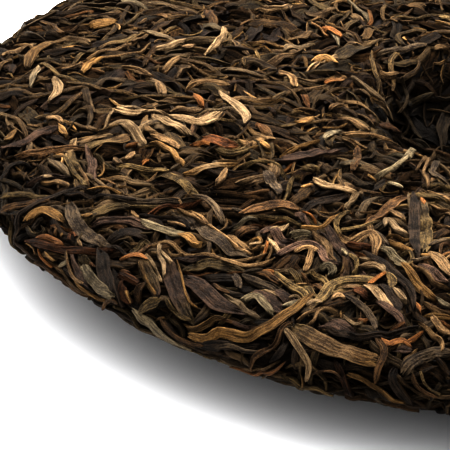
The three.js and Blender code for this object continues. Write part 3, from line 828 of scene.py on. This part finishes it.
# Each row has the kind, the tones from one end to the other, the width and the places that the leaf's middle
# runs through, in the photo's pixels. Later rows lie over earlier ones.
seen_leaves = (
    # far part, from the left
    ("strip", "tan golden tan", 12, "27,62 33,50 46,42 62,37"),
    ("strip", "pale", 11, "53,76 58,87 49,100"),
    ("strip", "golden", 12, "90,22 102,21 115,20"),
    ("strip", "golden", 9, "83,68 92,58 101,55"),
    ("strip", "pale", 8, "156,47 170,43 184,38"),
    ("bud", "tan", 8, "183,46 188,45 194,44"),
    ("strip", "tan", 9, "123,64 137,66 150,74"),
    ("strip", "tan", 7, "162,67 172,60 180,56"),
    ("strip", "pale", 8, "116,107 130,111 144,110"),
    ("bud", "golden", 8, "313,58 325,55 337,61"),
    ("bud", "orange", 9, "323,24 332,28 341,35"),
    ("bud", "orange", 8, "301,89 305,95 310,101"),
    ("strip", "tan", 9, "381,70 390,74 398,71"),
    ("strip", "grey", 8, "378,50 402,46 428,42"),
    ("strip", "tan", 7, "435,47 450,42"),
    ("strip", "tan", 6, "329,104 339,103 350,103"),
    ("bud", "orange", 9, "381,123 393,126 405,129"),
    ("strip", "olive", 9, "410,106 422,99 434,94"),
    ("strip", "pale", 8, "204,49 215,43 223,33 225,24"),
    ("strip", "tan", 7, "186,82 206,80 228,82"),
    ("strip", "tan", 8, "279,69 291,75 296,86"),
    ("bud", "tan", 7, "46,114 56,116 63,120"),
    ("bud", "golden", 7, "3,138 9,133 15,128"),
    ("bud", "orange", 8, "193,93 198,96 204,100"),
    ("blade", "plum", 10, "0,146 15,139 30,134 45,128 60,124"),
    ("strip", "pale", 12, "110,122 122,120 134,127 146,139"),
    ("strip", "pale", 10, "152,110 165,118 178,124 189,131"),
    ("strip", "pale", 11, "172,115 185,117 197,122 208,118 219,110"),
    ("bud", "pale", 12, "219,90 230,99 241,106 247,113 245,122"),
    ("strip", "tan", 8, "152,129 162,136 172,142 179,147"),
    ("bud", "golden", 7, "149,141 158,140 167,145 175,152 184,162"),
    ("blade", "red", 12, "203,134 218,138 236,141"),
    ("strip", "orange", 6, "193,140 201,139 210,142"),
    ("strip", "olive", 7, "218,147 232,150 243,148 247,143"),
    ("bud", "orange tan", 11, "257,122 266,127 274,132"),
    ("bud", "golden", 7, "261,140 266,144 270,146"),
    ("bud", "tan", 8, "340,117 352,119 363,124 371,128"),
    ("bud", "silver", 9, "325,137 333,131 340,129"),
    ("bud", "golden", 8, "297,121 304,120 312,116"),
    ("blade", "plum", 13, "280,157 300,154 320,150 337,147"),
    ("strip", "golden", 5, "280,150 295,146 308,142 319,138"),
    ("strip", "tan", 5, "344,131 360,131 375,134 391,139"),
    ("strip", "tan", 5, "343,137 355,140 368,145"),
    ("blade", "brown", 9, "357,143 358,155 352,166"),
    ("strip", "silver", 6, "387,148 394,150 401,153 409,156"),
    ("strip", "silver", 6, "377,173 388,168 399,162 410,156"),
    ("strand", "tan", 5, "410,165 420,170 427,177 428,185"),
    ("strip", "olive", 9, "305,164 311,165 318,166"),
    # middle part
    ("strand", "black", 5, "0,178 5,169 15,162 30,160"),
    ("bud", "pale", 9, "48,157 58,162 70,170"),
    ("strip", "brown", 10, "18,154 45,149 65,147 86,146"),
    ("blade", "plum", 11, "86,146 91,160 95,178"),
    ("strip", "golden", 5, "0,156 6,153 13,150"),
    ("bud", "golden", 8, "60,124 63,129 66,133"),
    ("bud", "golden", 6, "11,171 20,169 28,172"),
    ("strip", "plum", 6, "28,179 45,176 58,173 72,175"),
    ("bud", "pale", 5, "41,175 46,176 52,176"),
    ("strip", "olive", 5, "64,155 70,165 78,175 86,184"),
    ("strand", "tan", 3, "79,166 84,174 88,182"),
    ("strip", "olive", 7, "96,149 103,156 110,165 119,170"),
    ("bud", "tan", 7, "113,155 117,158 122,161"),
    ("bud", "tan", 7, "126,157 130,154 135,151"),
    ("twig", "orange", 4, "141,160 144,159 148,158"),
    ("twig", "orange", 4, "127,142 131,141 136,139"),
    ("blade", "olive", 11, "140,166 155,169 170,174 184,181 199,191"),
    ("strip", "olive", 6, "117,163 135,165 150,166 168,170"),
    ("strip", "grey", 7, "110,195 130,197 150,199 175,196 196,193"),
    ("strip", "olive", 6, "0,197 12,193 25,193 40,196 55,195"),
    ("strip", "brown", 8, "0,209 12,204 30,201 48,199"),
    ("blade", "grey", 13, "266,170 273,180 279,192"),
    ("strip", "olive", 4, "243,162 260,160 272,161 287,167"),
    ("bud", "tan", 7, "213,154 215,158 218,163"),
    ("bud", "tan", 8, "216,178 222,173 227,168"),
    ("strip", "olive", 5, "283,200 288,188 293,176 300,174"),
    ("strip", "pale", 8, "314,178 325,183 340,187 356,190"),
    ("blade", "black", 10, "298,207 320,199 346,192"),
    ("bud", "golden", 5, "302,187 306,185 312,183"),
    ("strip", "pale", 8, "362,186 355,193 349,200 346,206"),
    ("blade", "brown", 13, "413,190 400,197 387,207 375,216 364,222"),
    ("strip", "olive", 7, "413,192 430,195 449,197"),
    ("bud", "silver", 5, "389,181 396,183 403,185"),
    ("strand", "tan", 4, "428,190 438,193 452,199"),
    ("strand", "tan", 3, "432,203 440,207 450,208"),
    ("strand", "tan", 3, "437,220 444,223 452,227"),
    ("strip", "grey", 8, "424,168 438,174 452,181"),
    ("strip", "golden pale golden", 7, "184,172 196,168 212,165 225,162 237,161"),
    ("twig", "golden pale", 7, "100,172 123,176 147,181"),
    # rim, from the left
    ("strip", "olive", 4, "2,221 4,232 9,243 18,253 30,263 42,272"),
    ("strand", "brown", 4, "9,214 8,228 12,241 22,252 36,263 50,275 64,286"),
    ("strip", "brown", 5, "32,262 45,270 58,280 72,290 88,301"),
    ("strip", "tan", 4, "44,262 55,271 66,281 78,291 92,300"),
    ("blade", "black", 8, "60,266 68,275 80,285 92,293"),
    ("strip", "black", 5, "88,303 103,310 118,318 132,326"),
    ("strand", "olive", 3, "110,307 120,314 130,322 138,330"),
    ("strand", "olive", 3, "150,334 165,341 180,348 195,353 210,359 230,368"),
    ("strip", "black", 9, "161,322 168,332 180,341 198,345 220,350"),
    ("strip", "brown", 5, "160,318 166,328 176,337 190,343 203,346"),
    ("strip", "black", 10, "203,345 220,345 238,348 256,346"),
    ("strip", "grey", 5, "215,347 230,346 245,352 258,352"),
    ("blade", "black", 8, "287,338 280,350 268,363"),
    ("strand", "tan", 3, "262,380 272,379 283,378"),
    ("blade", "red", 8, "334,358 340,374 344,390 350,404"),
    ("strand", "brown", 3, "308,376 320,372 332,372 340,378"),
    ("strip", "brown", 4, "345,401 362,406 382,409 402,412 420,415"),
    ("strip", "black", 9, "395,365 392,378 398,392 408,404"),
    ("strip", "brown", 5, "412,374 416,385 425,393 437,398"),
    ("strand", "olive", 3, "421,371 424,382 431,391 440,395"),
    ("strip", "brown", 6, "436,352 443,362 449,374"),
    # near left
    ("blade", "grey", 7, "47,207 56,205 66,208"),
    ("strand", "black", 5, "14,245 12,228 17,213 33,204 52,196 66,190 82,186 102,189"),
    ("strand", "black", 4, "64,193 80,190 96,192 115,196 136,199"),
    ("strand", "golden", 3, "88,187 100,186 113,188 121,192"),
    ("strand", "tan", 2.5, "60,203 75,199 92,196"),
    ("strand", "grey", 3.5, "30,228 32,221 37,217 42,216"),
    ("strand", "olive", 3.5, "27,227 31,233 38,231 41,226 38,222"),
    ("strand", "brown", 3, "17,228 21,224 27,219 33,214"),
    ("strand", "orange", 2.5, "50,225 58,224 66,225 72,227"),
    ("strand", "brown", 2.5, "50,233 49,228 53,225 56,228 53,233"),
    ("strand", "golden", 2.5, "60,235 62,231 66,229"),
    ("strand", "red", 3, "69,238 69,233 73,231 76,235"),
    ("bud", "tan", 4, "77,239 79,242 81,245"),
    ("strip", "red", 9, "20,241 35,242 50,246 64,249 82,249 100,248 113,246"),
    ("bud", "orange", 7, "37,237 43,236 49,237 55,240 61,244"),
    ("flat", "golden", 10, "27,218 35,211 44,209 52,212 62,217"),
    ("strand", "orange", 2.5, "36,249 38,256 44,263 50,268"),
    ("bud", "golden", 4, "44,252 47,257 51,261"),
    ("bud", "silver", 5, "58,266 63,263 67,260"),
    ("blade", "plum", 9, "71,253 73,265 78,275 87,287"),
    ("strand", "tan", 4, "65,251 66,261 69,272 74,279 83,283"),
    ("strip", "golden", 4, "74,282 80,288 89,295 97,300 104,301"),
    ("blade", "olive", 11, "79,254 84,260 90,265"),
    ("blade", "black", 18, "99,250 101,262 106,276 113,291 118,305"),
    ("flat", "silver", 13, "83,264 88,274 97,286 112,298"),
    ("bud", "orange", 4, "88,262 90,263 93,264"),
    ("strand", "brown", 5, "102,310 105,303 111,300 117,305"),
    ("blade", "black", 10, "107,236 118,232 130,231 146,234"),
    ("blade", "olive", 10, "87,217 97,211 108,206 119,203 131,205"),
    ("bud", "golden", 5, "82,214 87,214 92,213"),
    ("strand", "golden", 2, "92,227 99,228 105,229"),
    ("strip", "plum", 9, "90,220 110,218 130,218 141,222 152,228"),
    ("strand", "pale", 3, "96,216 113,214 130,214 143,218 152,222"),
    ("strip", "silver", 10, "143,221 156,227 172,230 188,234"),
    ("bud", "golden", 10, "180,233 188,235 194,238 200,239"),
    ("twig", "golden", 3, "118,230 121,228 125,226"),
    ("blade", "grey", 16, "70,200 73,216 88,232 111,246"),
    ("strand", "black", 4, "112,245 120,246 126,253"),
    # near middle
    ("strip", "olive", 3.5, "130,205 150,204 171,204"),
    ("strip", "red", 5, "143,211 160,206 180,202 202,199"),
    ("twig", "tan", 3.5, "132,209 135,213 138,217"),
    ("strip", "black", 6, "140,215 155,213 170,213 183,218 190,226"),
    ("bud", "tan", 3.5, "168,219 176,221 185,225"),
    ("strip", "grey", 8, "195,194 206,197 215,205 223,216"),
    ("blade", "brown", 12, "242,212 256,206 272,203 286,203 297,207"),
    ("strip", "olive", 4, "246,215 262,214 280,215 293,218 302,223"),
    ("bud", "silver", 5, "233,220 245,217 258,217"),
    ("strand", "orange", 2.5, "236,223 250,221 262,221 286,220"),
    ("flat", "pale", 8, "274,227 281,226 288,223"),
    ("flat", "silver", 8, "292,231 300,230 309,231"),
    ("blade", "plum", 11, "262,231 272,228 285,236 298,239"),
    ("blade", "grey", 15, "172,210 185,213 200,223 215,235 232,247 250,254"),
    ("strand", "tan", 3, "178,207 192,213 206,222 222,233 240,246 252,253"),
    ("strand", "tan", 3, "191,211 200,214 208,223"),
    ("strip", "tan", 7, "222,227 232,235 243,243 253,249"),
    ("strip", "brown", 9, "237,231 247,226 257,227"),
    ("strand", "golden", 4.5, "243,239 249,234 257,233 261,238 258,244 250,249"),
    ("strand", "pale", 3, "249,243 254,242 261,242"),
    ("strand", "orange", 3, "262,253 266,246 268,239"),
    ("strand", "tan", 3, "266,255 271,248 273,242"),
    ("bud", "pale", 4, "268,237 273,242 280,250"),
    ("strip", "black", 9, "206,274 220,276 238,277"),
    ("strand", "olive", 3.5, "216,284 227,284 238,285"),
    ("blade", "olive", 11, "184,266 194,262 207,259 224,262 241,267"),
    ("strand", "orange", 3, "185,269 200,269 220,270 243,271"),
    ("twig", "orange", 4, "264,270 269,269 275,270"),
    ("blade", "plum", 8, "171,253 185,251 199,254 208,254"),
    ("strand", "tan", 4.5, "130,240 143,239 155,238 168,240 181,244 195,248 "
     "208,252 222,257 240,258 254,256 266,251"),
    ("strand", "tan", 4.5, "222,258 238,262 252,263 262,260 272,257"),
    ("strand", "tan", 3, "162,248 168,252 175,258"),
    ("strand", "olive", 2.5, "172,256 182,258 196,259"),
    ("blade", "plum", 19, "186,276 197,282 208,293 222,304 240,309"),
    ("strand", "brown", 4, "212,280 219,288 229,292"),
    ("blade", "grey", 9, "233,274 238,279 240,285"),
    ("strip", "brown", 9, "259,271 269,273 279,281"),
    ("strip", "grey", 9, "243,274 257,278 270,283 285,290"),
    ("blade", "plum", 17, "256,290 268,298 285,308"),
    ("bud", "pale", 4, "264,290 273,291 283,295"),
    ("blade", "plum", 12, "276,292 288,297 300,304"),
    ("strip", "silver", 8, "242,298 250,295 258,296 264,303 273,311"),
    ("bud", "pale", 7, "225,293 236,299 248,308 258,314"),
    ("bud", "silver", 6, "283,303 291,302 300,300"),
    ("strand", "pale", 3, "289,296 297,293 304,299"),
    ("strip", "red", 9, "118,274 128,276 138,281"),
    ("strip", "olive", 7, "130,253 137,245 144,239 151,243"),
    ("strand", "brown", 4, "137,252 143,247 151,243"),
    ("blade", "red", 12, "122,283 121,292 127,302"),
    ("strand", "golden", 2, "126,290 127,296 129,303"),
    ("blade", "brown", 9, "143,281 136,289 134,303"),
    ("blade", "olive", 12, "158,297 148,304 140,313"),
    ("strand", "golden", 2, "152,322 157,319 163,318"),
    ("bud", "orange", 5, "118,268 123,268 129,271"),
    ("blade", "tan olive plum", 15, "141,256 147,269 153,283 157,296"),
    ("bud", "orange", 6, "120,258 128,255 138,254 147,258"),
    ("strand", "pale", 3.5, "145,253 151,260 157,268 161,279"),
    ("strand", "golden", 2.5, "140,262 144,274 150,286 155,294"),
    ("blade", "brown plum plum olive", 21, "163,255 170,268 174,284 181,300 191,318"),
    ("bud", "pale", 5, "160,244 159,252 163,262 163,272"),
    ("bud", "pale", 4, "161,249 165,254 171,261"),
    ("strand", "golden", 2.5, "177,258 181,272 184,287 189,301 197,306"),
    ("strip", "olive", 6, "166,297 171,308 180,316 189,320"),
    ("bud", "silver", 13, "132,312 142,322 155,332 170,341 186,349"),
    # near right
    ("strand", "orange", 2.5, "303,210 310,213 317,218"),
    ("blade", "plum", 8, "296,211 302,214 309,219"),
    ("blade", "plum", 10, "324,220 333,232 341,243 352,255 366,273"),
    ("strand", "golden", 5, "301,224 312,223 324,223 332,217 341,212"),
    ("strip", "olive", 6, "340,231 336,223 340,215 349,210"),
    ("strip", "tan", 9, "313,229 321,235 328,244 330,253 337,260"),
    ("strip", "plum", 8, "278,254 290,247 303,242 315,243 322,250 326,258 337,261"),
    ("strip", "tan", 5, "294,251 302,247 310,246 317,250"),
    ("strip", "tan", 8, "312,247 309,257 305,270"),
    ("strip", "brown", 9, "289,256 278,261 266,266"),
    ("strand", "pale", 4, "275,269 282,267 290,269"),
    ("strip", "olive", 8, "277,271 284,279 294,285 304,292 313,302"),
    ("strip", "olive", 7, "289,268 298,275 307,285 316,297"),
    ("strip", "brown", 5, "302,272 312,279 322,288 330,292"),
    ("strip", "olive", 6, "311,270 321,275 328,284 331,293"),
    ("strip", "silver", 9, "320,263 328,262 333,266 330,270"),
    ("strip", "olive", 10, "316,303 324,295 330,286 342,280 358,278 376,279"),
    ("strand", "silver", 4.5, "342,246 345,249 347,253"),
    ("strip", "olive", 5, "349,254 356,258 357,264 353,269"),
    ("strip", "red", 7, "348,240 359,242 370,244"),
    ("strip", "orange", 5, "355,249 362,252 370,255"),
    ("strip", "pale", 6, "359,257 368,256 378,259"),
    ("strip", "pale", 9, "361,264 369,261 378,263 386,268"),
    ("strand", "olive", 4, "342,226 355,226 368,223 380,219"),
    ("strip", "grey", 7, "371,230 381,235 389,243"),
    ("strip", "tan", 9, "341,232 350,237 361,233 371,232 377,240 375,252"),
    ("strip", "black", 9, "363,249 374,256 386,263 396,271 406,281 413,292 415,306"),
    ("strip", "silver", 10, "383,246 392,250 400,257 406,263"),
    ("strand", "golden", 5, "389,237 397,240 405,244 413,250"),
    ("strand", "olive", 4.5, "403,250 409,249 413,255 409,262 403,265"),
    ("bud", "tan", 7, "389,209 397,211 406,217"),
    ("strand", "golden", 3, "388,230 398,231 409,236"),
    ("bud", "pale", 8, "386,224 386,218 392,219 399,226 409,230"),
    ("flat", "grey olive olive", 20, "417,195 421,210 425,228 421,249"),
    ("blade", "black", 13, "413,192 415,206 414,222 414,238 417,254"),
    ("bud", "orange", 5, "421,197 423,200 425,204"),
    ("strip", "grey", 5, "429,245 438,240 450,237"),
    ("strand", "brown", 3.5, "440,252 442,243 450,241"),
    ("strip", "golden", 9, "403,262 411,270 420,280 428,288 436,295"),
    ("blade", "plum", 10, "419,262 432,268 447,279"),
    ("strip", "tan", 4, "411,262 422,267 430,273 438,280 451,283"),
    ("bud", "tan", 13, "431,250 440,258 452,272"),
    ("strand", "grey", 3, "411,258 420,257 429,256"),
    ("bud", "golden", 4, "421,254 426,254 430,255"),
    ("blade", "olive", 11, "385,271 393,277 391,287"),
    ("blade", "black", 14, "381,284 390,291 396,301 399,313"),
    ("flat", "pale", 10, "366,285 376,289 383,297 391,306"),
    ("twig", "orange", 5.5, "370,283 377,277 385,272"),
    ("bud", "pale", 7, "394,288 401,292 406,296"),
    ("bud", "tan", 5, "345,286 353,285 362,284"),
    ("blade", "red", 8, "354,289 360,290 368,293"),
    ("bud", "tan", 6, "332,298 338,294 344,297"),
    ("bud", "orange", 5, "416,302 419,305 421,309"),
    ("strip", "tan", 5, "424,300 434,304 450,311"),
    ("bud", "silver", 5, "437,296 444,299 452,301"),
    # front
    ("blade", "plum", 14, "322,322 334,321 346,327 358,331"),
    ("strip", "grey", 8, "346,294 356,299 366,306 373,316 376,328"),
    ("strip", "plum", 8, "378,300 388,307 398,314 405,323"),
    ("strand", "orange", 4, "404,321 395,324 382,326"),
    ("strand", "pale", 4, "344,308 348,317 355,323 363,320"),
    ("bud", "orange", 5, "358,319 362,317 367,316"),
    ("bud", "pale", 5, "307,304 315,301 322,302"),
    ("strand", "tan", 3, "300,324 308,322 314,318 318,311 326,306 337,306"),
    ("strand", "tan", 3, "296,316 304,313 312,311 320,308"),
    ("strip", "plum", 4, "232,321 243,325 256,325"),
    ("strip", "golden", 8, "180,326 188,329 196,328 205,322 213,317 223,318"),
    ("strip", "golden", 12, "189,335 200,338 209,337 217,331 228,333 242,336 "
     "256,331 269,325 281,316 293,308 304,301 312,294"),
    ("strip", "brown", 7, "292,321 283,326 277,336 273,344 262,351 253,358 248,369"),
    ("flat", "olive tan tan golden", 19, "291,324 308,334 325,343 345,351 362,356 376,360"),
    ("strand", "pale", 8, "285,329 293,339 301,351 308,363 308,372 305,381"),
    ("strip", "black", 7, "326,327 338,332 358,334 380,332 397,329 418,323"),
    ("strip", "brown", 8, "378,337 384,347 383,358 378,369 376,382"),
    ("bud", "orange", 7, "383,337 389,343 396,341 404,340 411,345"),
    ("strand", "orange", 4, "408,341 415,335 423,330"),
    ("strand", "golden", 4, "404,359 411,352 417,346"),
    ("strip", "grey", 13, "402,372 410,362 421,354 434,350 450,352"),
    ("strip", "tan", 5, "420,323 432,329 442,338 442,350"),
    ("strip", "tan", 7, "431,316 440,324 452,334"),
    ("strip", "golden", 6, "424,309 437,313 452,314"),
    ("strip", "orange", 5, "441,319 446,321 453,323"),
    ("blade", "plum", 9, "396,347 403,348 411,350"),
    ("strip", "golden", 6, "347,375 360,381 372,388 383,394 394,402 404,405"),
    ("bud", "orange", 5, "229,367 240,371 252,376 263,377 273,373 283,363"),
    ("strand", "tan", 3, "244,372 256,373 268,368 277,362"),
    ("strip", "olive", 7, "280,377 289,384 300,390 315,391 333,397"),
)
for row in seen_leaves:
    lay_seen(*row)
scatter(shreds, upper_face, 1000, (1.5, 6), (0.25, 0.7), shred_look)

for heap in (crushed_leaf, blades, dark_strips, pale_strips, shreds, strands, buds, twigs):
    heap.make()

# The floor is a plain pale sheet under the cake, wide enough to show no edge, and isn't part of it. Behind
# the cake hangs one large soft lamp, and a white tent round it all is brightest overhead.
floor_mesh = bpy.data.meshes.new("floor")
floor_half = 3.0
floor_corners = [(x * floor_half, y * floor_half, 0) for x, y in ((-1, -1), (1, -1), (1, 1), (-1, 1))]
floor_mesh.from_pydata(floor_corners, [], [(0, 1, 2, 3)])
floor = bpy.data.objects.new("floor", floor_mesh)
bpy.context.collection.objects.link(floor)
floor_material = bpy.data.materials.new("pale floor")
floor_material.use_nodes = True
floor_paint = floor_material.node_tree.nodes["Principled BSDF"].inputs
floor_paint["Base Color"].default_value = (0.85, 0.85, 0.86, 1)
floor_paint["Roughness"].default_value = 1.0
floor_paint["Specular IOR Level"].default_value = 0.0
floor_mesh.materials.append(floor_material)

lamp = bpy.data.lights.new("back softbox", "AREA")
lamp.size = 0.5
lamp.energy = 30
lamp_place = Vector((-0.15, 0.55, 1.05))
lamp_aim = Vector((-0.04, -0.05, 0.02))
lamp_object = bpy.data.objects.new("back softbox", lamp)
lamp_object.location = lamp_place
lamp_object.rotation_euler = (lamp_aim - lamp_place).to_track_quat("-Z", "Y").to_euler()
bpy.context.collection.objects.link(lamp_object)

world = bpy.data.worlds.new("studio")
world.use_nodes = True
sky_tree = world.node_tree
direction = new_node(sky_tree, "TexCoord").outputs["Generated"]
skyward = new_node(sky_tree, "SeparateXYZ", {0: direction}).outputs["Z"]
tent = new_node(sky_tree, "MapRange", {"Value": skyward, "To Min": 0.35, "To Max": 2.3})
sky_tree.links.new(tent.outputs["Result"], sky_tree.nodes["Background"].inputs["Strength"])
sky_tree.nodes["Background"].inputs["Color"].default_value = (1, 1, 1, 1)
bpy.context.scene.world = world
view = bpy.context.scene.view_settings
view.view_transform = "Standard"
view.gamma = picture_gamma
view.exposure = 1.0
